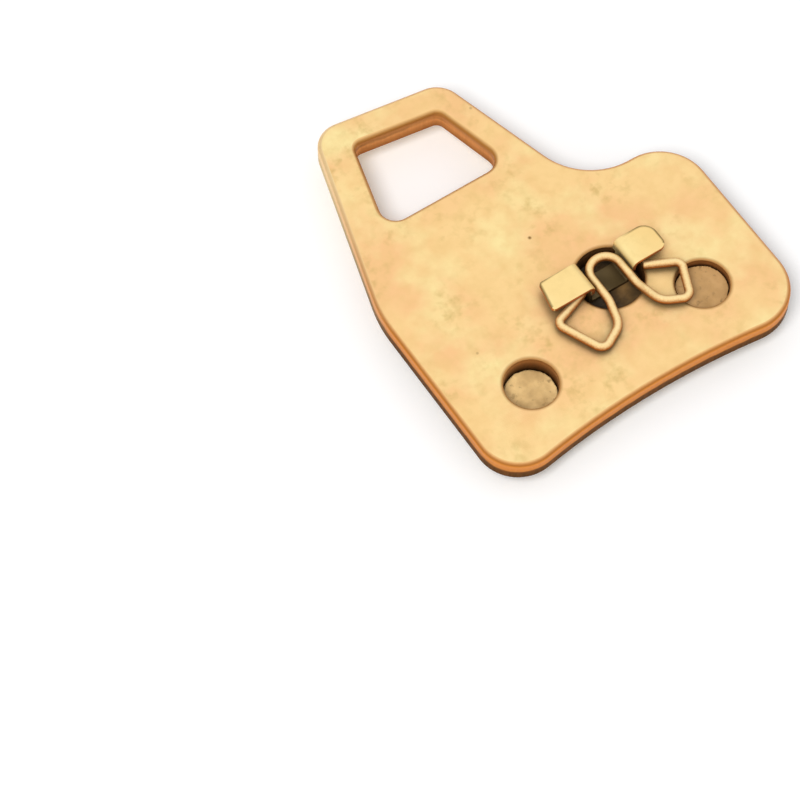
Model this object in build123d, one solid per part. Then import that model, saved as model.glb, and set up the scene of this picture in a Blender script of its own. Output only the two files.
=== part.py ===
from build123d import *

import os
from math import cos, hypot, radians, sin

# Bicycle disc brake pad in millimetres, lying on its friction face.
# X runs across the pad, Y towards the handle loop and Z up to the back of the plate.
# The origin is on the axis of the piston's post, at the friction face.

# Backing plate: body
plate_thickness = 2.0
edge_bevel = 0.3           # edge that the punch leaves round the outline and the loop's opening
hole_bevel = 0.1           # the same round the three holes
body_width = 30.2
body_middle = -2.45        # middle of the body, beside the post's axis
front_reach = 10.35        # post's axis to the middle of the front edge
front_radius = 75.0        # hollow of the front edge
front_left_corner = 3.6
front_right_corner = 4.4
shoulder_reach = 8.15      # post's axis to the edge of the shoulder
shoulder_corner = 4.2

# Backing plate: handle loop
left_leg_foot = 7.0        # where the left leg leaves the side of the body
left_leg_bend = 12.0
shoulder_length = 8.95     # right side of the body to the foot of the right leg
right_leg_fillet = 5.8
leg_lean = 15.8            # degrees from the Y axis, both legs inwards
loop_reach = 24.1          # post's axis to the top edge, above the middle of the opening
loop_tilt = 8.2            # degrees that the top edge falls to the right
loop_corner = 2.4
top_bar = 2.65
opening_foot = 13.65       # post's axis to the lower edge of the opening
left_leg_width = 3.27      # along that lower edge
right_leg_width = 2.75
opening_lean = 14.6
opening_lower_corner = 1.4
opening_upper_corner = 0.8

# Holes in the plate
key_spacing = 16.9
key_diameter = 4.5
key_drop = 5.05            # post's axis to the line of the keying holes
post_hole_drop = 0.4       # post's axis to the middle of its hole

# Friction block
friction_thickness = 2.0
side_inset = 0.8
friction_front = 9.1       # post's axis to the middle of the block's front edge
friction_front_radius = 55.0
friction_left_corner = 2.7
friction_right_corner = 3.5
friction_back_corner = 2.4
back_inset = 0.75          # behind the shoulder's edge
back_rise = 0.6            # the back edge stands further out between the loop's legs
back_slope = 2.0           # length of the slope up to that edge
face_bevel = 0.35
plug_clearance = 0.02
left_plug_recess = 1.5     # below the back of the plate
right_plug_recess = 0.7

# Pad spring, all places to the middle of the wire
wire_diameter = 0.75
wire_clearance = 0.03
arch_radius = 1.4          # round the post's axis
leg_front = 2.3            # post's axis to where the legs spread
leg_bend = 3.0
flare_out = 2.05
flare_front = 4.7
flare_bend = 1.6
loop_front_bend = 0.7
loop_side_bend = 0.6
end_out = 2.75

# Pad spring: right loop, which is bent tighter than the left
right_front_out = 4.25
right_front = 5.8
right_side_out = 5.6
right_side_front = 2.6
right_end_front = 1.15

# Pad spring: left loop
left_front_out = 4.4
left_front = 5.95
left_side_out = 6.25
left_side_front = 1.85
left_end_front = 0.6

# Spring retainer
strip_thickness = 0.4
strip_width = 2.1          # where it stands in the post hole, below its shoulders
strip_bend = 0.25          # inside of each bend
strip_clearance = 0.05
strip_rise = 0.35          # post's axis to the middle of the strip
ear_width = 2.8
left_ear_back = 5.55       # reach of the left ear, whose end is cut on a slant
left_ear_front = 6.05
left_ear_corner = 0.35
right_ear_reach = 5.3
right_ear_back_corner = 1.2
right_ear_front_corner = 0.7

plate_top = friction_thickness + plate_thickness
body_left = body_middle - body_width / 2
body_right = body_middle + body_width / 2
left_foot = (body_left, left_leg_foot)
right_foot = (body_right - shoulder_length, shoulder_reach)
key_places = [(body_middle - key_spacing / 2, -key_drop), (body_middle + key_spacing / 2, -key_drop)]
strip_inside = arch_radius + wire_diameter / 2 + strip_clearance
strip_outside = strip_inside + strip_thickness
strip_back = strip_rise + strip_width / 2
post_hole_radius = hypot(strip_outside, strip_back + post_hole_drop) + strip_clearance


def meet(a, a_angle, b, b_angle):
    """Point where two lines cross, each given by a point and a direction in degrees."""
    ax, ay = cos(radians(a_angle)), sin(radians(a_angle))
    bx, by = cos(radians(b_angle)), sin(radians(b_angle))
    along = ((b[0] - a[0]) * by - (b[1] - a[1]) * bx) / (ax * by - ay * bx)
    return (a[0] + along * ax, a[1] + along * ay)


def rounded(outline, corners):
    """The outline with each listed corner rounded to its radius."""
    for corner, radius in corners:
        outline = fillet(outline.vertices().sort_by_distance(corner)[0], radius)
    return outline


def hollow_front(outline, reach, radius):
    """The outline cut back to a hollow front edge."""
    return outline - Pos(body_middle, -reach - radius) * Circle(radius)


def opening_floor():
    """Ends of the opening's lower edge, a leg's width inside the outer side of each leg."""
    level = (body_middle, opening_foot)
    left = meet(left_foot, 90 - leg_lean, level, 0)
    right = meet(right_foot, 90 + leg_lean, level, 0)
    return (left[0] + left_leg_width, opening_foot), (right[0] - right_leg_width, opening_foot)


def opening_middle():
    """Where the reach of the loop is measured."""
    lower_left, lower_right = opening_floor()
    return (lower_left[0] + lower_right[0]) / 2


def plate_outline():
    beyond = -front_reach - body_width
    top = (opening_middle(), loop_reach)
    loop_left = meet(left_foot, 90 - leg_lean, top, -loop_tilt)
    loop_right = meet(right_foot, 90 + leg_lean, top, -loop_tilt)
    shoulder = (body_right, shoulder_reach)
    body = Polygon(
        (body_left, beyond), (body_right, beyond), shoulder, right_foot,
        loop_right, loop_left, left_foot, align=None
    )
    return rounded(
        hollow_front(body, front_reach, front_radius),
        [
            ((body_left, -front_reach), front_left_corner),
            ((body_right, -front_reach), front_right_corner),
            (shoulder, shoulder_corner),
            (right_foot, right_leg_fillet),
            (loop_right, loop_corner),
            (loop_left, loop_corner),
            (left_foot, left_leg_bend),
        ],
    )


def loop_opening():
    lower_left, lower_right = opening_floor()
    under_bar = (opening_middle(), loop_reach - top_bar / cos(radians(loop_tilt)))
    upper_left = meet(lower_left, 90 - opening_lean, under_bar, -loop_tilt)
    upper_right = meet(lower_right, 90 + opening_lean, under_bar, -loop_tilt)
    return rounded(
        Polygon(lower_left, lower_right, upper_right, upper_left, align=None),
        [
            (lower_left, opening_lower_corner),
            (lower_right, opening_lower_corner),
            (upper_left, opening_upper_corner),
            (upper_right, opening_upper_corner),
        ],
    )


def backing_plate():
    outline = plate_outline() - loop_opening() - Pos(0, -post_hole_drop) * Circle(post_hole_radius)
    for place in key_places:
        outline -= Pos(*place) * Circle(key_diameter / 2)
    plate = extrude(Pos(0, 0, friction_thickness) * outline, plate_thickness)
    holes = plate.edges().group_by(Axis.Z)[-1].filter_by(lambda edge: edge.is_closed)
    plate = chamfer(holes, hole_bevel)
    rims = plate.edges().group_by(Axis.Z)[-1].filter_by(lambda edge: not edge.is_closed)
    return chamfer(rims, edge_bevel)


def friction_outline():
    beyond = -friction_front - body_width
    left = body_left + side_inset
    right = body_right - side_inset
    low = shoulder_reach - back_inset
    high = low + back_rise
    block = Polygon(
        (left, beyond), (right, beyond), (right, low), (right_foot[0] + back_slope, low),
        (right_foot[0], high), (left + friction_back_corner + back_slope, high), (left, low), align=None
    )
    return rounded(
        hollow_front(block, friction_front, friction_front_radius),
        [
            ((left, -friction_front), friction_left_corner),
            ((right, -friction_front), friction_right_corner),
            ((right, low), friction_back_corner),
            ((left, low), friction_back_corner),
        ],
    )


def friction_block():
    block = extrude(friction_outline(), friction_thickness)
    block = chamfer(block.edges().group_by(Axis.Z)[0], face_bevel)
    for place, recess in zip(key_places, (left_plug_recess, right_plug_recess)):
        plug = extrude(Circle(key_diameter / 2 - plug_clearance), plate_thickness - recess)
        block += Pos(*place, friction_thickness) * plug
    return block


def strip_plan():
    """The strip from above, with the shapes of its ears' ends."""
    half = ear_width / 2
    return rounded(
        Polygon(
            (-left_ear_front, -half), (right_ear_reach, -half), (right_ear_reach, half),
            (-left_ear_back, half), align=None
        ),
        [
            ((-left_ear_front, -half), left_ear_corner),
            ((-left_ear_back, half), left_ear_corner),
            ((right_ear_reach, -half), right_ear_front_corner),
            ((right_ear_reach, half), right_ear_back_corner),
        ],
    )


def spring_retainer():
    floor = friction_thickness
    under_ear = plate_top + wire_diameter + 2 * wire_clearance
    over_ear = under_ear + strip_thickness
    base_top = floor + strip_thickness
    beyond = left_ear_front + right_ear_reach
    section = Polygon(
        (-beyond, under_ear), (-strip_outside, under_ear), (-strip_outside, floor),
        (strip_outside, floor), (strip_outside, under_ear), (beyond, under_ear),
        (beyond, over_ear), (strip_inside, over_ear), (strip_inside, base_top),
        (-strip_inside, base_top), (-strip_inside, over_ear), (-beyond, over_ear), align=None
    )
    outside_bend = strip_bend + strip_thickness
    for side in (-1, 1):
        section = rounded(
            section,
            [
                ((side * strip_outside, under_ear), strip_bend),
                ((side * strip_inside, over_ear), outside_bend),
                ((side * strip_outside, floor), outside_bend),
                ((side * strip_inside, base_top), strip_bend),
            ],
        )
    strip = extrude(Plane.XZ * section, ear_width, both=True) & extrude(strip_plan(), over_ear)
    shoulder = plate_top + strip_clearance
    on_floor = (Align.CENTER, Align.CENTER, Align.MIN)
    below = Box(2 * beyond, ear_width, shoulder, align=on_floor)
    neck = Box(2 * beyond, strip_width, shoulder, align=on_floor)
    return Pos(0, strip_rise) * (strip - (below - neck))


def wire_half(front_out, front, side_out, side_front, end_front):
    """Path of the wire from the arch to one end, drawn on the right."""
    return FilletPolyline(
        (arch_radius, 0), (arch_radius, -leg_front), (flare_out, -flare_front), (front_out, -front),
        (side_out, -side_front), (end_out, -end_front),
        radius=(leg_bend, flare_bend, loop_front_bend, loop_side_bend),
    )


def pad_spring():
    right = wire_half(right_front_out, right_front, right_side_out, right_side_front, right_end_front)
    left = wire_half(left_front_out, left_front, left_side_out, left_side_front, left_end_front)
    arch = CenterArc((0, 0), arch_radius, 0, 180)
    path = Wire(right.edges() + arch.edges() + mirror(left, Plane.YZ).edges())
    wire = sweep(Plane(origin=path @ 0, z_dir=path % 0) * Circle(wire_diameter / 2), path=path)
    return Pos(0, 0, plate_top + wire_clearance + wire_diameter / 2) * wire


os.makedirs("parts", exist_ok=True)
for piece in (backing_plate, friction_block, spring_retainer, pad_spring):
    export_step(piece(), f"parts/{piece.__name__}.step")
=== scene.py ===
from math import radians

import bmesh
import bpy
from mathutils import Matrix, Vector


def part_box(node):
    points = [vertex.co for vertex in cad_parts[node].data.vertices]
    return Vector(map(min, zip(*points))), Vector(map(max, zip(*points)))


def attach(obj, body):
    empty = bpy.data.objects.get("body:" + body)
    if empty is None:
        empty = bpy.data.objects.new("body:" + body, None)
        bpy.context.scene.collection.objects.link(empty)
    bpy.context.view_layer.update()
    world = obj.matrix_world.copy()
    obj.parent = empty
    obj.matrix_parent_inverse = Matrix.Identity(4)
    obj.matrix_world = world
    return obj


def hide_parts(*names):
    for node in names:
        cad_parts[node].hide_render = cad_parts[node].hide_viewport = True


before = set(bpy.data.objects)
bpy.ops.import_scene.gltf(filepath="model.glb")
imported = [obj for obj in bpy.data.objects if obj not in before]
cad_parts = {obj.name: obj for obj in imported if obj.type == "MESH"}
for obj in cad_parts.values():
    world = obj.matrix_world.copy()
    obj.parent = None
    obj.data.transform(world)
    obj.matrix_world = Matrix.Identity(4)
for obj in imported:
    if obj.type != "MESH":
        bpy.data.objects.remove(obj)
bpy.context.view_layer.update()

mm = 0.001
print("frame loaded:", sorted(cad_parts))


# picking and copying

mergeGap = 0.001 * mm
joinAngle = 0.2             # degrees, up to which the solid's triangles are joined to flat faces
levelSlack = 0.01 * mm      # for picking edges and faces by their height


def pickOnly(piece):
    bpy.ops.object.select_all(action="DESELECT")
    piece.select_set(True)
    bpy.context.view_layer.objects.active = piece


def copyOfNode(nodeName, pieceName):
    piece = bpy.data.objects.new(pieceName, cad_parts[nodeName].data.copy())
    bpy.context.scene.collection.objects.link(piece)
    piece.data.materials.clear()
    pickOnly(piece)
    bpy.ops.mesh.customdata_custom_splitnormals_clear()
    bpy.ops.object.mode_set(mode="EDIT")
    bpy.ops.mesh.select_all(action="SELECT")
    bpy.ops.mesh.mark_sharp(clear=True)
    bpy.ops.mesh.remove_doubles(threshold=mergeGap)
    bpy.ops.mesh.dissolve_limited(angle_limit=radians(joinAngle))
    bpy.ops.mesh.select_all(action="DESELECT")
    bpy.ops.object.mode_set(mode="OBJECT")
    return piece


def selectEdges(piece, wanted):
    bpy.ops.mesh.select_mode(type="EDGE")
    bpy.ops.mesh.select_all(action="DESELECT")
    work = bmesh.from_edit_mesh(piece.data)
    for edge in work.edges:
        edge.select_set(wanted(edge))
    bmesh.update_edit_mesh(piece.data)


def isFold(edge, degrees):
    return len(edge.link_faces) == 2 and edge.calc_face_angle() > radians(degrees)


def atHeight(vert, height):
    return abs(vert.co.z - height) < levelSlack


def bevelEdges(piece, wanted, width, segments):
    selectEdges(piece, wanted)
    bpy.ops.mesh.bevel(offset=width, segments=segments, affect="EDGES", clamp_overlap=False)


def smoothFinish(piece, degrees):
    bpy.ops.object.mode_set(mode="OBJECT")
    pickOnly(piece)
    bpy.ops.object.shade_smooth_by_angle(angle=radians(degrees))
    weighted = piece.modifiers.new("evenNormals", "WEIGHTED_NORMAL")
    weighted.keep_sharp = True
    bpy.ops.object.modifier_apply(modifier=weighted.name)


def takePlace(piece, nodeName):
    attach(piece, "root")
    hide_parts(nodeName)


# shader helpers

nodeRows = 5
nodeGap = (220, 280)
nodeTop = -500              # below the shader
white = (1.0, 1.0, 1.0, 1.0)
mixSockets = {"factor": 0, "first": 6, "second": 7, "result": 2}    # of a colour mix


def newMaterial(name):
    material = bpy.data.materials.new(name)
    material.use_nodes = True
    tree = material.node_tree
    return material, tree, tree.nodes["Principled BSDF"]


def addNode(tree, kind, **settings):
    # set out in columns, in the order that they are made
    column, row = divmod(len(tree.nodes), nodeRows)
    node = tree.nodes.new(kind)
    node.location = (column * nodeGap[0], nodeTop - row * nodeGap[1])
    for key, value in settings.items():
        setattr(node, key, value)
    return node


def toLinear(red, green, blue):
    def one(channel):
        share = channel / 255
        return share / 12.92 if share <= 0.04045 else ((share + 0.055) / 1.055) ** 2.4
    return (one(red), one(green), one(blue), 1.0)


def feed(tree, socket, source):
    # source is another node's socket, a number, or a colour as a screen shows it
    if isinstance(source, bpy.types.NodeSocket):
        tree.links.new(source, socket)
    elif socket.type == "RGBA":
        socket.default_value = toLinear(*source)
    else:
        socket.default_value = source


def noise(tree, vector, scale, detail, seed):
    node = addNode(tree, "ShaderNodeTexNoise", noise_dimensions="4D")
    tree.links.new(vector, node.inputs["Vector"])
    node.inputs["Scale"].default_value = scale
    node.inputs["Detail"].default_value = detail
    node.inputs["W"].default_value = seed
    return node.outputs["Fac"]


def spread(tree, value, low, high, bottom=0.0, top=1.0):
    node = addNode(tree, "ShaderNodeMapRange")
    tree.links.new(value, node.inputs["Value"])
    node.inputs["From Min"].default_value = low
    node.inputs["From Max"].default_value = high
    node.inputs["To Min"].default_value = bottom
    node.inputs["To Max"].default_value = top
    return node.outputs["Result"]


def patches(tree, vector, scale, detail, seed, low=0.0, high=1.0, bottom=0.0, top=1.0):
    return spread(tree, noise(tree, vector, scale, detail, seed), low, high, bottom, top)


def cells(tree, vector, scale):
    # distance from the middle of each cell, and random numbers of its own
    node = addNode(tree, "ShaderNodeTexVoronoi")
    tree.links.new(vector, node.inputs["Vector"])
    node.inputs["Scale"].default_value = scale
    chance = addNode(tree, "ShaderNodeSeparateColor")
    tree.links.new(node.outputs["Color"], chance.inputs[0])
    return node.outputs["Distance"], chance.outputs


def sums(tree, operation, first, second=0.0):
    node = addNode(tree, "ShaderNodeMath", operation=operation)
    feed(tree, node.inputs[0], first)
    feed(tree, node.inputs[1], second)
    return node.outputs[0]


def blend(tree, factor, first, second, kind="MIX"):
    node = addNode(tree, "ShaderNodeMix", data_type="RGBA", blend_type=kind)
    feed(tree, node.inputs[mixSockets["factor"]], factor)
    feed(tree, node.inputs[mixSockets["first"]], first)
    feed(tree, node.inputs[mixSockets["second"]], second)
    return node.outputs[mixSockets["result"]]


def ramp(tree, value, stops):
    node = addNode(tree, "ShaderNodeValToRGB")
    tree.links.new(value, node.inputs["Fac"])
    elements = node.color_ramp.elements
    while len(elements) < len(stops):
        elements.new(0.5)
    for element, (position, colour) in zip(elements, stops):
        element.position = position
        element.color = toLinear(*colour)
    return node.outputs["Color"]


def bump(tree, shader, height, strength, distance):
    node = addNode(tree, "ShaderNodeBump")
    tree.links.new(height, node.inputs["Height"])
    node.inputs["Strength"].default_value = strength
    node.inputs["Distance"].default_value = distance
    tree.links.new(node.outputs["Normal"], shader.inputs["Normal"])


def objectPlace(tree):
    return addNode(tree, "ShaderNodeTexCoord").outputs["Object"]


def axesOf(tree, place):
    node = addNode(tree, "ShaderNodeSeparateXYZ")
    tree.links.new(place, node.inputs[0])
    return node.outputs


paintedShadeLook = {
    "samples": 12,
    "openness": (0.93, 0.5),    # where the painted shade starts and where it is full
    "thinned": 0.7,             # in the mottled places
}


def addPaintedShade(tree, colour, mottle, tint, reach, strength):
    # painted shade: darkens the colour by ambient occlusion where the surface lies close to another piece
    occluded = addNode(tree, "ShaderNodeAmbientOcclusion", samples=paintedShadeLook["samples"])
    occluded.inputs["Distance"].default_value = reach
    close = spread(tree, occluded.outputs["AO"], *paintedShadeLook["openness"], 0.0, strength)
    patchy = spread(tree, mottle, 0.0, 1.0, 1.0, paintedShadeLook["thinned"])
    return blend(tree, sums(tree, "MULTIPLY", close, patchy), colour, tint)


# shader groups

def newGroup(name, outputs):
    tree = bpy.data.node_groups.new(name, "ShaderNodeTree")
    tree.interface.new_socket("Place", in_out="INPUT", socket_type="NodeSocketVector")
    for label in outputs:
        tree.interface.new_socket(label, in_out="OUTPUT", socket_type="NodeSocketFloat")
    start = addNode(tree, "NodeGroupInput")
    end = addNode(tree, "NodeGroupOutput")
    return tree, start.outputs["Place"], end


def useGroup(tree, group, place):
    node = addNode(tree, "ShaderNodeGroup", node_tree=group)
    tree.links.new(place, node.inputs["Place"])
    return node.outputs


platingLook = {
    "warm": {"scale": 170, "detail": 2.5, "seed": 2.0, "low": 0.42, "high": 0.62},
    "pale": {"scale": 210, "detail": 3.0, "seed": 7.3, "low": 0.47, "high": 0.68},
    "cluster": {"scale": 210, "detail": 1.0, "seed": 4.1, "low": 0.46, "high": 0.66, "bottom": 0.12},
    "stain": {"scale": 1150, "detail": 3.0, "seed": 9.6, "low": 0.48, "high": 0.76},
    "mottle": {"scale": 900, "detail": 4.0, "seed": 5.5, "low": 0.4, "high": 0.72},
    "grain": {"scale": 6500, "detail": 2.5, "seed": 1.4},
    "speckScale": 620,
    "speckEdge": (0.13, 0.05),
    "speckChance": (0.93, 0.99),
}


def makePlatingMarks():
    # broad warm and pale patches, small olive stains in clusters, dark specks, mottling, fine grain
    labels = ["Warm", "Pale", "Stain", "Specks", "Mottle", "Grain"]
    tree, place, end = newGroup("platingMarks", labels)
    warm = patches(tree, place, **platingLook["warm"])
    pale = patches(tree, place, **platingLook["pale"])
    cluster = patches(tree, place, **platingLook["cluster"])
    fine = patches(tree, place, **platingLook["stain"])
    stain = sums(tree, "MULTIPLY", cluster, fine)
    away, chance = cells(tree, place, platingLook["speckScale"])
    dots = spread(tree, away, *platingLook["speckEdge"])
    few = spread(tree, chance[0], *platingLook["speckChance"])
    specks = sums(tree, "MULTIPLY", dots, few)
    mottle = patches(tree, place, **platingLook["mottle"])
    grain = noise(tree, place, **platingLook["grain"])
    for label, value in zip(labels, (warm, pale, stain, specks, mottle, grain)):
        tree.links.new(value, end.inputs[label])
    return tree


rubLook = {
    "first": {"turn": 24, "seed": 3.0},     # degrees
    "second": {"turn": -51, "seed": 8.0},
    "squeeze": (1.0, 26.0, 1.0),
    "scale": 260,
    "detail": 2.0,
    "edge": (0.62, 0.74),
}


def rubLines(tree, place, turn, seed):
    aim = addNode(tree, "ShaderNodeMapping")
    tree.links.new(place, aim.inputs["Vector"])
    aim.inputs["Rotation"].default_value = (0.0, 0.0, radians(turn))
    aim.inputs["Scale"].default_value = rubLook["squeeze"]
    streaks = noise(tree, aim.outputs["Vector"], rubLook["scale"], rubLook["detail"], seed)
    return spread(tree, streaks, *rubLook["edge"])


def makeRubMarks():
    # long thin lines in two directions
    tree, place, end = newGroup("rubMarks", ["Lines"])
    first = rubLines(tree, place, **rubLook["first"])
    second = rubLines(tree, place, **rubLook["second"])
    tree.links.new(sums(tree, "MAXIMUM", first, second), end.inputs["Lines"])
    return tree


gritLook = {
    "stirScale": 3600,
    "stirReach": (0.5 * mm, 0.5 * mm, 0.5 * mm),
    "grainScale": 2600,
    "flakeScale": 1900,
    "flakeChance": (0.6, 0.98),
    "flakeEdge": (0.5, 0.2),
    "pits": {"scale": 1900, "detail": 3.0, "seed": 5.2, "low": 0.6, "high": 0.74},
    "cloud": {"scale": 420, "detail": 3.0, "seed": 6.6},
}


def makeMouldedGrit():
    # packed grains, shiny flakes, open pits, and a cloud for patches of colour
    labels = ["Grains", "Flakes", "Pits", "Cloud"]
    tree, place, end = newGroup("mouldedGrit", labels)
    # stirred, so that grains and flakes get ragged outlines
    stir = addNode(tree, "ShaderNodeTexNoise")
    tree.links.new(place, stir.inputs["Vector"])
    stir.inputs["Scale"].default_value = gritLook["stirScale"]
    shift = addNode(tree, "ShaderNodeVectorMath", operation="MULTIPLY_ADD")
    tree.links.new(stir.outputs["Color"], shift.inputs[0])
    shift.inputs[1].default_value = gritLook["stirReach"]
    tree.links.new(place, shift.inputs[2])
    stirred = shift.outputs["Vector"]
    grains = cells(tree, stirred, gritLook["grainScale"])[1][0]
    away, chance = cells(tree, stirred, gritLook["flakeScale"])
    rare = spread(tree, chance[1], *gritLook["flakeChance"])
    core = spread(tree, away, *gritLook["flakeEdge"])
    flakes = sums(tree, "MULTIPLY", rare, core)
    pits = patches(tree, place, **gritLook["pits"])
    cloud = noise(tree, place, **gritLook["cloud"])
    for label, value in zip(labels, (grains, flakes, pits, cloud)):
        tree.links.new(value, end.inputs[label])
    return tree


platingMarks = makePlatingMarks()
rubMarks = makeRubMarks()
mouldedGrit = makeMouldedGrit()
print("shader groups made")


# backing plate

plateLook = {
    "edgeBevel": 0.3 * mm,      # as the solid has it
    "holeBevel": 0.1 * mm,
    "rollWidth": 0.11 * mm,     # rounds the two folds of the edge's bevel
    "rollSegments": 3,
    "holeRollWidth": 0.035 * mm,
    "burrWidth": 0.05 * mm,     # round the underside
    "smallSegments": 2,
    "foldAngle": 30,
    "smoothAngle": 35,
    "holes": [(0.0, -0.4, 2.91), (-10.9, -5.05, 2.25), (6.0, -5.05, 2.25)],     # X, Y, radius in mm
    "holeRim": 0.29 * mm,       # a hole's wall and bevel lie within this of its radius
    "openingMiddle": (-6.5 * mm, 17.5 * mm, 0.0),
    "openingFoot": 13 * mm,
    "flatFrom": 0.96,           # Z of a normal that still belongs to a face and not to a wall
    "gold": (253, 215, 150),
    "warm": (251, 202, 143),
    "pale": (255, 232, 166),
    "mottle": (238, 196, 128),
    "mottleShare": 0.42,
    "stain": (212, 180, 108),
    "stainShare": 0.7,
    "speck": (140, 104, 52),
    "ring": (168, 122, 66),     # round the holes
    "ringWidth": 0.22 * mm,
    "ringShare": 0.7,
    # painted shade where the face lies close to the other pieces, by ambient occlusion
    "paintedShade": {"tint": (112, 88, 44), "reach": 1.3 * mm, "strength": 0.65},
    "metal": 0.6,
    "specular": 0.3,
    "roughness": (0.42, 0.58),
    "rubDepth": 0.4,
    "bump": (0.35, 0.03 * mm),  # strength and depth
}


def makePlate():
    piece = copyOfNode("backing_plate", "backingPlate")
    low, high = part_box("backing_plate")
    bpy.ops.object.mode_set(mode="EDIT")
    wallTop = high.z - plateLook["edgeBevel"]
    holeTop = high.z - plateLook["holeBevel"]
    small = plateLook["smallSegments"]
    large = plateLook["rollSegments"]

    def foldAt(height):
        def wanted(edge):
            return isFold(edge, plateLook["foldAngle"]) and all(atHeight(vert, height) for vert in edge.verts)
        return wanted

    def isHoleBevel(face):
        # the three holes have the narrow bevel
        lower = [vert for vert in face.verts if not atHeight(vert, high.z)]
        return 0.2 < face.normal.z < 0.95 and all(atHeight(vert, holeTop) for vert in lower)

    def holeFold(edge):
        return foldAt(high.z)(edge) and any(isHoleBevel(face) for face in edge.link_faces)

    bevelEdges(piece, foldAt(low.z), plateLook["burrWidth"], small)
    bevelEdges(piece, foldAt(holeTop), plateLook["holeRollWidth"], small)
    bevelEdges(piece, foldAt(wallTop), plateLook["rollWidth"], large)
    bevelEdges(piece, holeFold, plateLook["holeRollWidth"], small)
    bevelEdges(piece, foldAt(high.z), plateLook["rollWidth"], large)
    smoothFinish(piece, plateLook["smoothAngle"])
    return piece


def makeFaceMetal():
    material, tree, shader = newMaterial("platedFace")
    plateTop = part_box("backing_plate")[1].z
    place = objectPlace(tree)
    marks = useGroup(tree, platingMarks, place)
    rubs = useGroup(tree, rubMarks, place)
    colour = blend(tree, marks["Warm"], plateLook["gold"], plateLook["warm"])
    colour = blend(tree, marks["Pale"], colour, plateLook["pale"])
    cloudy = sums(tree, "MULTIPLY", marks["Mottle"], plateLook["mottleShare"])
    colour = blend(tree, cloudy, colour, plateLook["mottle"])
    faint = sums(tree, "MULTIPLY", marks["Stain"], plateLook["stainShare"])
    colour = blend(tree, faint, colour, plateLook["stain"])
    colour = blend(tree, marks["Specks"], colour, plateLook["speck"])
    for x, y, radius in plateLook["holes"]:
        gap = addNode(tree, "ShaderNodeVectorMath", operation="DISTANCE")
        tree.links.new(place, gap.inputs[0])
        gap.inputs[1].default_value = (x * mm, y * mm, plateTop)
        inner = radius * mm + plateLook["holeBevel"]
        outer = inner + plateLook["ringWidth"]
        ring = spread(tree, gap.outputs["Value"], inner, outer, plateLook["ringShare"], 0.0)
        colour = blend(tree, ring, colour, plateLook["ring"])
    # painted shade near the spring, the retainer and the block
    colour = addPaintedShade(tree, colour, marks["Mottle"], **plateLook["paintedShade"])
    tree.links.new(colour, shader.inputs["Base Color"])
    shader.inputs["Metallic"].default_value = plateLook["metal"]
    shader.inputs["Specular IOR Level"].default_value = plateLook["specular"]
    dull = sums(tree, "MAXIMUM", marks["Stain"], rubs["Lines"])
    roughness = spread(tree, dull, 0.0, 1.0, *plateLook["roughness"])
    tree.links.new(roughness, shader.inputs["Roughness"])
    scratches = sums(tree, "MULTIPLY", rubs["Lines"], plateLook["rubDepth"])
    height = sums(tree, "SUBTRACT", marks["Grain"], scratches)
    bump(tree, shader, height, *plateLook["bump"])
    return material


# the plate's sheared walls, where a height of 0 is the bottom and 1 the top
wallLook = {
    "ragged": {"scale": 700, "detail": 4.0, "seed": 2.7, "bottom": -0.2, "top": 0.2},
    "raggedBelow": (0.85, 0.6),     # heights where the bands start to be ragged and are fully so
    "raggedShare": 0.35,
    "drag": (178, 108, 52),
    "dragSqueeze": (1.0, 1.0, 0.06),
    "dragLines": {"scale": 3800, "detail": 2.0, "seed": 6.1},
    "dragEdge": (0.4, 0.7),
    "dragShare": 0.2,
    "dragBelow": (0.95, 0.6),
    "torn": (120, 72, 30),
    "tornEdge": (0.03, 0.12),
    "tornPlaces": {"scale": 240, "detail": 2.0, "seed": 3.9, "low": 0.42, "high": 0.6, "top": 0.4},
    "pale": (255, 230, 176),        # painted light on the wall of the handle's left leg
    "paintedLightLeg": (5 * mm, 20 * mm),   # in Y, from where it starts to where it is full
    "paintedLightSide": (-13 * mm, 0 * mm),     # in X, where it fades out round the corner
    "speck": (90, 56, 26),
    # painted shade low in the hole walls, by ambient occlusion
    "paintedShade": (40, 28, 14),
    "paintedShadeReach": 2.0 * mm,
    "metal": 0.78,
    "specular": 0.1,
    "roughAt": (0.35, 0.75),
    "roughness": (0.68, 0.45),
    "bump": (0.5, 0.04 * mm),
}

# height and colour of the bands in each wall, and where its torn line lies
walls = {
    "outerWall": {
        # darker towards the bottom, partly the duller fracture zone of the shear and partly painted shade;
        # the dip just under the top is painted shade on the rounded roll
        "bands": [
            (0.0, (88, 56, 17)),
            (0.38, (108, 68, 22)),
            (0.44, (150, 94, 34)),
            (0.5, (222, 142, 62)),
            (0.84, (226, 146, 66)),
            (0.9, (196, 124, 56)),
            (0.95, (222, 158, 94)),
            (1.0, (250, 207, 142)),
        ],
        "tornAt": 0.42,
        # painted light on the handle's left leg
        "paintedLightShare": 0.7,
    },
    "openingWall": {
        # the dark band just under the top is painted shade on the rounded roll
        "bands": [
            (0.0, (170, 104, 48)),
            (0.2, (204, 134, 68)),
            (0.45, (232, 164, 92)),
            (0.62, (220, 150, 80)),
            (0.78, (186, 122, 56)),
            (0.9, (200, 140, 72)),
            (1.0, (250, 207, 142)),
        ],
        "tornAt": 0.62,
    },
    "holeWall": {
        # painted shade: darker towards the bottom of the hole
        "bands": [
            (0.0, (70, 46, 22)),
            (0.3, (112, 78, 44)),
            (0.6, (160, 114, 72)),
            (0.8, (190, 138, 88)),
            (0.93, (170, 118, 66)),
            (1.0, (214, 164, 102)),
        ],
        "tornAt": 0.62,
        "paintedShadeShare": 0.5,
    },
}


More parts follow.
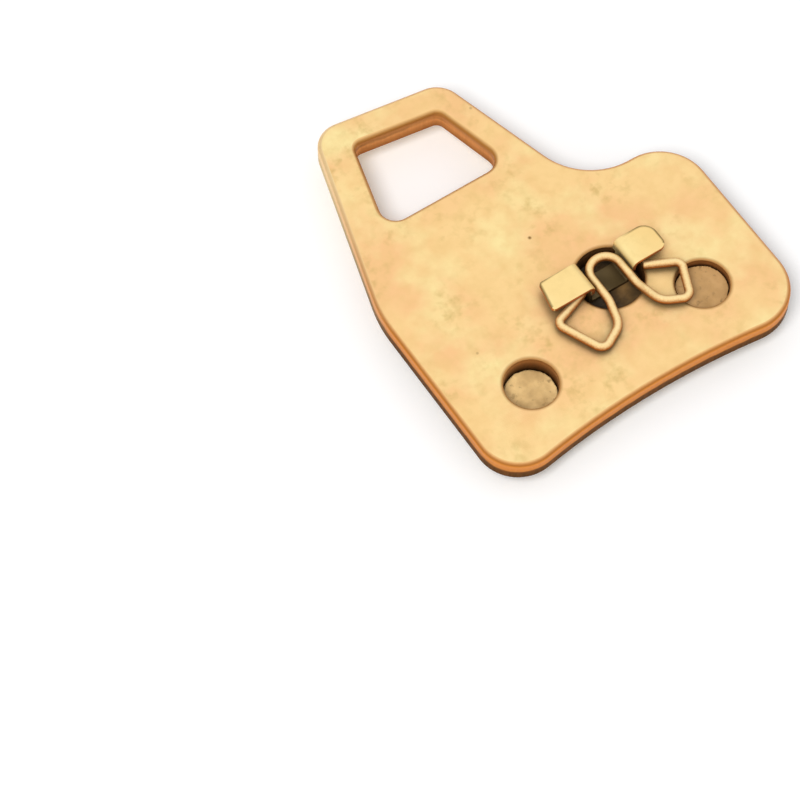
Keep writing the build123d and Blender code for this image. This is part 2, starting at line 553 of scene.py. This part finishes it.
def makeWallMetal(name, bands, tornAt, paintedLightShare=0.0, paintedShadeShare=0.0):
    material, tree, shader = newMaterial(name)
    place = objectPlace(tree)
    axes = axesOf(tree, place)
    marks = useGroup(tree, platingMarks, place)
    low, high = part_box("backing_plate")
    height = spread(tree, axes["Z"], low.z, high.z)
    ragged = patches(tree, place, **wallLook["ragged"])
    below = spread(tree, height, *wallLook["raggedBelow"], 0.0, wallLook["raggedShare"])
    bandHeight = sums(tree, "ADD", height, sums(tree, "MULTIPLY", ragged, below))
    colour = ramp(tree, bandHeight, bands)
    # drag lines left by the punch run down the wall
    drag = addNode(tree, "ShaderNodeMapping")
    tree.links.new(place, drag.inputs["Vector"])
    drag.inputs["Scale"].default_value = wallLook["dragSqueeze"]
    lines = noise(tree, drag.outputs["Vector"], **wallLook["dragLines"])
    dark = spread(tree, lines, *wallLook["dragEdge"], 0.0, wallLook["dragShare"])
    dragged = spread(tree, height, *wallLook["dragBelow"])
    colour = blend(tree, sums(tree, "MULTIPLY", dark, dragged), colour, wallLook["drag"])
    # torn line where the shear broke through, only here and there
    above = sums(tree, "SUBTRACT", sums(tree, "ADD", height, ragged), tornAt)
    torn = spread(tree, sums(tree, "ABSOLUTE", above), *wallLook["tornEdge"], 1.0, 0.0)
    some = patches(tree, place, **wallLook["tornPlaces"])
    colour = blend(tree, sums(tree, "MULTIPLY", torn, some), colour, wallLook["torn"])
    # painted light: the wall of the handle's left leg is drawn paler, as if lit
    if paintedLightShare:
        upLeg = spread(tree, axes["Y"], *wallLook["paintedLightLeg"], 0.0, paintedLightShare)
        leftSide = spread(tree, axes["X"], *wallLook["paintedLightSide"], 1.0, 0.0)
        colour = blend(tree, sums(tree, "MULTIPLY", upLeg, leftSide), colour, wallLook["pale"])
    colour = blend(tree, marks["Specks"], colour, wallLook["speck"])
    # painted shade where the wall lies close to another piece
    if paintedShadeShare:
        colour = addPaintedShade(tree, colour, marks["Mottle"], wallLook["paintedShade"], wallLook["paintedShadeReach"], paintedShadeShare)
    tree.links.new(colour, shader.inputs["Base Color"])
    shader.inputs["Metallic"].default_value = wallLook["metal"]
    shader.inputs["Specular IOR Level"].default_value = wallLook["specular"]
    roughness = spread(tree, height, *wallLook["roughAt"], *wallLook["roughness"])
    tree.links.new(roughness, shader.inputs["Roughness"])
    bump(tree, shader, sums(tree, "ADD", lines, marks["Grain"]), *wallLook["bump"])
    return material


plate = makePlate()
plate.data.materials.append(makeFaceMetal())
for wallName, wall in walls.items():
    plate.data.materials.append(makeWallMetal(wallName, **wall))
faceSlot, outerSlot, openingSlot, holeSlot = range(4)
openingMiddle = Vector(plateLook["openingMiddle"])


def inHole(spot):
    return any(
        (spot - Vector((x * mm, y * mm, 0.0))).length < radius * mm + plateLook["holeRim"]
        for x, y, radius in plateLook["holes"]
    )


for face in plate.data.polygons:
    spot = Vector((face.center.x, face.center.y, 0.0))
    turnedIn = (openingMiddle - spot).dot(face.normal) > 0
    if abs(face.normal.z) > plateLook["flatFrom"]:
        face.material_index = faceSlot
    elif turnedIn and spot.y > plateLook["openingFoot"]:
        face.material_index = openingSlot
    elif inHole(spot):
        face.material_index = holeSlot
    else:
        face.material_index = outerSlot
takePlace(plate, "backing_plate")
print("plate:", len(plate.data.polygons), "faces")


# friction block

blockLook = {
    "cell": 0.15 * mm,
    "flatBack": 0.05 * mm,      # nothing is roughened within this of the plate
    "grains": {"size": 0.35 * mm, "depth": 0.05 * mm, "contrast": 1.6, "intensity": 1.0, "highest": 1.15},
    "pits": {"size": 0.8 * mm, "depth": 0.05 * mm, "contrast": 3.0, "intensity": 1.3, "highest": 1.75},
    "tanFrom": 1.75 * mm,       # height above which the compound has the tan of its back
    "dark": (27, 17, 6),
    "brown": (60, 43, 19),
    "pit": (14, 11, 7),
    "flake": (204, 176, 98),
    "roughness": (0.82, 0.4),   # of the compound and of a flake
    "bump": (0.6, 0.05 * mm),
    "leftPlug": (252, 214, 148),
    "rightPlug": (206, 162, 106),
    "plugFade": (-6 * mm, 2 * mm),      # in X, from the left plug's colour to the right one's
    "holeShade": (50, 40, 25),       # painted shade at the bottom of the post hole
    "holeShadeReach": (4.2 * mm, 3.6 * mm),  # from the origin
    "plugShade": (158, 120, 70),
    "plugShadeEdge": (0.4, 0.68),
    "plugShadeShare": 0.7,
    "plugPit": (96, 72, 40),
    "plugPitShare": 0.6,
    "plugRoughness": (0.6, 0.85),
    "plugBump": (0.4, 0.03 * mm),
}


def sinkBy(piece, name, size, depth, contrast, intensity, highest):
    # highest is the texture's own top value, so the surface only moves inwards
    texture = bpy.data.textures.new(name, "CLOUDS")
    texture.noise_scale = size
    texture.contrast = contrast
    texture.intensity = intensity
    sink = piece.modifiers.new(name, "DISPLACE")
    sink.texture = texture
    sink.texture_coords = "LOCAL"
    sink.mid_level = highest
    sink.strength = depth
    sink.vertex_group = "rough"
    bpy.ops.object.modifier_apply(modifier=sink.name)


def makeBlock():
    piece = copyOfNode("friction_block", "frictionBlock")
    pickOnly(piece)
    remesh = piece.modifiers.new("evenCells", "REMESH")
    remesh.mode = "VOXEL"
    remesh.voxel_size = blockLook["cell"]
    remesh.use_smooth_shade = True
    bpy.ops.object.modifier_apply(modifier=remesh.name)
    wrap = piece.modifiers.new("ontoSolid", "SHRINKWRAP")
    wrap.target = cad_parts["friction_block"]
    bpy.ops.object.modifier_apply(modifier=wrap.name)
    # the back stays flat against the plate
    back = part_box("backing_plate")[0].z
    rough = piece.vertex_groups.new(name="rough")
    free = [vert.index for vert in piece.data.vertices if abs(vert.co.z - back) > blockLook["flatBack"]]
    rough.add(free, 1.0, "REPLACE")
    sinkBy(piece, "grains", **blockLook["grains"])
    sinkBy(piece, "pits", **blockLook["pits"])
    return piece


def makeCompound():
    material, tree, shader = newMaterial("frictionCompound")
    grit = useGroup(tree, mouldedGrit, objectPlace(tree))
    colour = blend(tree, grit["Grains"], blockLook["dark"], blockLook["brown"])
    colour = blend(tree, grit["Pits"], colour, blockLook["pit"])
    colour = blend(tree, grit["Flakes"], colour, blockLook["flake"])
    tree.links.new(colour, shader.inputs["Base Color"])
    tree.links.new(grit["Flakes"], shader.inputs["Metallic"])
    roughness = spread(tree, grit["Flakes"], 0.0, 1.0, *blockLook["roughness"])
    tree.links.new(roughness, shader.inputs["Roughness"])
    height = sums(tree, "SUBTRACT", grit["Grains"], grit["Pits"])
    bump(tree, shader, height, *blockLook["bump"])
    return material


def makePlugBack():
    # the side that was moulded against the plate is tan
    material, tree, shader = newMaterial("mouldedBack")
    place = objectPlace(tree)
    grit = useGroup(tree, mouldedGrit, place)
    across = spread(tree, axesOf(tree, place)["X"], *blockLook["plugFade"])
    colour = blend(tree, across, blockLook["leftPlug"], blockLook["rightPlug"])
    away = addNode(tree, "ShaderNodeVectorMath", operation="LENGTH")
    tree.links.new(place, away.inputs[0])
    # painted shade: darker towards the middle of the post hole
    holeShade = spread(tree, away.outputs["Value"], *blockLook["holeShadeReach"])
    colour = blend(tree, holeShade, colour, blockLook["holeShade"])
    dim = spread(tree, grit["Cloud"], *blockLook["plugShadeEdge"], 0.0, blockLook["plugShadeShare"])
    colour = blend(tree, dim, colour, blockLook["plugShade"])
    pitted = sums(tree, "MULTIPLY", grit["Pits"], blockLook["plugPitShare"])
    colour = blend(tree, pitted, colour, blockLook["plugPit"])
    tree.links.new(colour, shader.inputs["Base Color"])
    roughness = spread(tree, grit["Grains"], 0.0, 1.0, *blockLook["plugRoughness"])
    tree.links.new(roughness, shader.inputs["Roughness"])
    height = sums(tree, "SUBTRACT", grit["Grains"], grit["Pits"])
    bump(tree, shader, height, *blockLook["plugBump"])
    return material


block = makeBlock()
block.data.materials.append(makeCompound())
block.data.materials.append(makePlugBack())
for face in block.data.polygons:
    face.material_index = 1 if face.center.z > blockLook["tanFrom"] else 0
takePlace(block, "friction_block")
print("block:", len(block.data.polygons), "faces")


# spring retainer

stripLook = {
    "edgeRound": 0.07 * mm,
    "edgeSegments": 3,
    "foldAngle": 50,
    "smoothAngle": 40,
    "flatFrom": 0.9999,         # Z of a normal on the top of an ear
    "shadowRim": (126, 99, 50),       # painted shadow along the back edge and the end of each ear
    "rimWidth": 0.16 * mm,
    "rimDepth": 0.1 * mm,       # below the top of the ears
    "rimStart": 2.7 * mm,       # from the middle of the strip
    "rimFront": 0.3 * mm,       # the front edge stays bright
    "rimShares": (0.95, 0.55),  # where the plating is clear and where it is mottled
    "face": {"colour": (255, 230, 162), "warm": (253, 222, 152), "roughness": 0.38},
    "cut": {"colour": (232, 142, 74), "warm": (206, 116, 58), "roughness": 0.5},
    "cutFrom": 0.8,             # X or Y of a normal on a cut edge
    "earEnds": 4 * mm,          # from the middle of the strip
    "rightTint": (250, 240, 230),
    "rightFade": (2.0 * mm, 4.0 * mm),
    "rightShare": 0.8,
    "stain": (212, 180, 108),
    "stainShare": 0.35,
    "holeShade": (108, 90, 57),      # painted shade on the part that stands in the hole
    "holeShadeFade": (4.1 * mm, 3.2 * mm),
    # painted shade where the retainer lies close to the plate and the spring, by ambient occlusion
    "paintedShade": {"tint": (60, 44, 22), "reach": 1.2 * mm, "strength": 0.7},
    "metal": 0.55,
    "specular": 0.3,
    "rubbed": 0.15,             # added to the roughness in the rub marks
    "bump": (0.2, 0.02 * mm),
}


def makeStrip():
    piece = copyOfNode("spring_retainer", "springRetainer")
    low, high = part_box("spring_retainer")
    bpy.ops.object.mode_set(mode="EDIT")
    bevelEdges(
        piece, lambda edge: isFold(edge, stripLook["foldAngle"]),
        stripLook["edgeRound"], stripLook["edgeSegments"]
    )
    # painted shadow rims on the tops of the two ears
    bpy.ops.mesh.select_mode(type="FACE")
    bpy.ops.mesh.select_all(action="DESELECT")
    work = bmesh.from_edit_mesh(piece.data)
    for face in work.faces:
        flat = face.normal.z > stripLook["flatFrom"]
        face.select_set(flat and face.calc_center_median().z > high.z - levelSlack)
    bmesh.update_edit_mesh(piece.data)
    bpy.ops.mesh.inset(thickness=stripLook["rimWidth"], use_individual=True)
    work = bmesh.from_edit_mesh(piece.data)
    shadowRim = work.verts.layers.float.new("shadowRim")
    for vert in work.verts:
        onEar = vert.co.z > high.z - stripLook["rimDepth"] and abs(vert.co.x) > stripLook["rimStart"]
        onTop = any(face.select for face in vert.link_faces)
        behind = vert.co.y > low.y + stripLook["rimFront"]
        vert[shadowRim] = 1.0 if onEar and behind and not onTop else 0.0
    bmesh.update_edit_mesh(piece.data)
    smoothFinish(piece, stripLook["smoothAngle"])
    return piece


def makeStripMetal(name, colour, warm, roughness):
    material, tree, shader = newMaterial(name)
    place = objectPlace(tree)
    axes = axesOf(tree, place)
    marks = useGroup(tree, platingMarks, place)
    rubs = useGroup(tree, rubMarks, place)
    colour = blend(tree, marks["Warm"], colour, warm)
    across = spread(tree, axes["X"], *stripLook["rightFade"], 0.0, stripLook["rightShare"])
    colour = blend(tree, across, colour, stripLook["rightTint"], "MULTIPLY")
    faint = sums(tree, "MULTIPLY", marks["Stain"], stripLook["stainShare"])
    colour = blend(tree, faint, colour, stripLook["stain"])
    # painted shadow along the back edges and the ends of the ears
    edge = addNode(tree, "ShaderNodeAttribute", attribute_name="shadowRim").outputs["Fac"]
    patchy = spread(tree, marks["Mottle"], 0.0, 1.0, *stripLook["rimShares"])
    colour = blend(tree, sums(tree, "MULTIPLY", edge, patchy), colour, stripLook["shadowRim"])
    # painted shade: darker lower down in the hole
    sunk = spread(tree, axes["Z"], *stripLook["holeShadeFade"])
    colour = blend(tree, sunk, colour, stripLook["holeShade"])
    colour = addPaintedShade(tree, colour, marks["Mottle"], **stripLook["paintedShade"])
    tree.links.new(colour, shader.inputs["Base Color"])
    shader.inputs["Metallic"].default_value = stripLook["metal"]
    shader.inputs["Specular IOR Level"].default_value = stripLook["specular"]
    rough = spread(tree, rubs["Lines"], 0.0, 1.0, roughness, roughness + stripLook["rubbed"])
    tree.links.new(rough, shader.inputs["Roughness"])
    height = sums(tree, "SUBTRACT", marks["Grain"], rubs["Lines"])
    bump(tree, shader, height, *stripLook["bump"])
    return material


strip = makeStrip()
strip.data.materials.append(makeStripMetal("platedStrip", **stripLook["face"]))
strip.data.materials.append(makeStripMetal("stripCutEdge", **stripLook["cut"]))
for face in strip.data.polygons:
    cutSide = abs(face.normal.y) > stripLook["cutFrom"]
    cutEnd = abs(face.normal.x) > stripLook["cutFrom"] and abs(face.center.x) > stripLook["earEnds"]
    face.material_index = 1 if cutSide or cutEnd else 0
takePlace(strip, "spring_retainer")
print("retainer:", len(strip.data.polygons), "faces")


# pad spring

wireLook = {
    "endRound": 0.14 * mm,
    "endSegments": 3,
    "foldAngle": 60,
    "smoothAngle": 50,
    # height and colour, from the underside to the crown: painted shade, dark below and light on top
    "bands": [(0.34, (72, 44, 20)), (0.68, (180, 106, 44)), (0.9, (244, 200, 136)), (1.0, (253, 224, 163))],
    "uneven": (-0.12, 0.12),
    "stain": (190, 140, 78),
    "stainShare": 0.5,
    # painted shade where the wire lies close to the plate and the retainer, by ambient occlusion
    "paintedShade": {"tint": (96, 66, 28), "reach": 0.8 * mm, "strength": 0.8},
    "metal": 0.55,
    "specular": 0.3,
    "roughness": (0.32, 0.55),
    "bump": (0.2, 0.02 * mm),
}


def makeWire():
    piece = copyOfNode("pad_spring", "padSpring")
    bpy.ops.object.mode_set(mode="EDIT")
    bevelEdges(
        piece, lambda edge: isFold(edge, wireLook["foldAngle"]),
        wireLook["endRound"], wireLook["endSegments"]
    )
    smoothFinish(piece, wireLook["smoothAngle"])
    return piece


def makeWireMetal():
    material, tree, shader = newMaterial("springWire")
    place = objectPlace(tree)
    marks = useGroup(tree, platingMarks, place)
    low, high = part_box("pad_spring")
    height = spread(tree, axesOf(tree, place)["Z"], low.z, high.z)
    uneven = spread(tree, marks["Grain"], 0.0, 1.0, *wireLook["uneven"])
    # painted shade: the wire's colour runs from a dark underside to a light crown
    colour = ramp(tree, sums(tree, "ADD", height, uneven), wireLook["bands"])
    faint = sums(tree, "MULTIPLY", marks["Stain"], wireLook["stainShare"])
    colour = blend(tree, faint, colour, wireLook["stain"])
    colour = addPaintedShade(tree, colour, marks["Mottle"], **wireLook["paintedShade"])
    tree.links.new(colour, shader.inputs["Base Color"])
    shader.inputs["Metallic"].default_value = wireLook["metal"]
    shader.inputs["Specular IOR Level"].default_value = wireLook["specular"]
    roughness = spread(tree, marks["Stain"], 0.0, 1.0, *wireLook["roughness"])
    tree.links.new(roughness, shader.inputs["Roughness"])
    bump(tree, shader, marks["Grain"], *wireLook["bump"])
    return material


wire = makeWire()
wire.data.materials.append(makeWireMetal())
takePlace(wire, "pad_spring")
print("spring:", len(wire.data.polygons), "faces")


# camera, light and floor

view = {
    "place": (-84.13 * mm, -96.83 * mm, 212.29 * mm),
    "target": (-19.23 * mm, 1.32 * mm, 0.0),
    "lens": 135.0,
    "sensor": 36.0,
    "nearest": 0.01,
}


def makeCamera():
    bpy.ops.object.camera_add(location=view["place"])
    camera = bpy.context.object
    camera.name = "photoCamera"
    aim = Vector(view["target"]) - camera.location
    camera.rotation_euler = aim.to_track_quat("-Z", "Y").to_euler()
    camera.data.lens = view["lens"]
    camera.data.sensor_width = view["sensor"]
    camera.data.clip_start = view["nearest"]
    bpy.context.scene.camera = camera


studio = {
    "worldFill": 0.6,
    "lowSky": 0.3,              # what a reflection sees near the horizon
    "skyFade": (0.05, 0.7),     # from there up to where it sees white
    "keyToward": (-0.75, -0.45, 1.42),
    "keyDistance": 0.6,
    "keySize": 0.28,
    "keyWatts": 2.1,
    "floorSize": 4.0,
    "floorColour": 0.5,         # as light bounces off it
    "floorWhite": 1.0,          # as the camera sees it
    "floorLift": 0.02,          # added there, so that the open floor is white up to the corners
    "floorRoughness": 0.9,
    "floorSpecular": 0.1,
}


def makeWorld():
    world = bpy.data.worlds.new("studioWorld")
    bpy.context.scene.world = world
    world.use_nodes = True
    tree = world.node_tree
    back = tree.nodes["Background"]
    back.inputs["Color"].default_value = white
    path = addNode(tree, "ShaderNodeLightPath").outputs
    upward = axesOf(tree, addNode(tree, "ShaderNodeTexCoord").outputs["Generated"])["Z"]
    sky = spread(tree, upward, *studio["skyFade"], studio["lowSky"], 1.0)
    mirrored = sums(tree, "MULTIPLY", path["Is Glossy Ray"], sky)
    bright = sums(tree, "MAXIMUM", path["Is Camera Ray"], path["Is Transmission Ray"])
    bright = sums(tree, "MAXIMUM", bright, mirrored)
    tree.links.new(sums(tree, "MAXIMUM", bright, studio["worldFill"]), back.inputs["Strength"])


def makeKeyLight():
    toward = Vector(studio["keyToward"]).normalized()
    bpy.ops.object.light_add(type="AREA", location=toward * studio["keyDistance"])
    lamp = bpy.context.object
    lamp.name = "keyLight"
    lamp.rotation_euler = toward.to_track_quat("Z", "Y").to_euler()
    lamp.data.shape = "DISK"
    lamp.data.size = studio["keySize"]
    lamp.data.energy = studio["keyWatts"]
    lamp.visible_glossy = False


def makeFloor():
    bpy.ops.mesh.primitive_plane_add(size=studio["floorSize"])
    floor = bpy.context.object
    floor.name = "floor"
    material, tree, shader = newMaterial("paleFloor")
    shader.inputs["Roughness"].default_value = studio["floorRoughness"]
    shader.inputs["Specular IOR Level"].default_value = studio["floorSpecular"]
    path = addNode(tree, "ShaderNodeLightPath").outputs
    seen = sums(tree, "MAXIMUM", path["Is Camera Ray"], path["Is Glossy Ray"])
    seen = sums(tree, "MAXIMUM", seen, path["Is Transmission Ray"])
    shown = spread(tree, seen, 0.0, 1.0, studio["floorColour"], studio["floorWhite"])
    tree.links.new(shown, shader.inputs["Base Color"])
    shader.inputs["Emission Color"].default_value = white
    lift = sums(tree, "MULTIPLY", seen, studio["floorLift"])
    tree.links.new(lift, shader.inputs["Emission Strength"])
    floor.data.materials.append(material)


makeCamera()
makeWorld()
makeKeyLight()
makeFloor()
bpy.context.scene.view_settings.view_transform = "Standard"
print("camera, light and floor set")
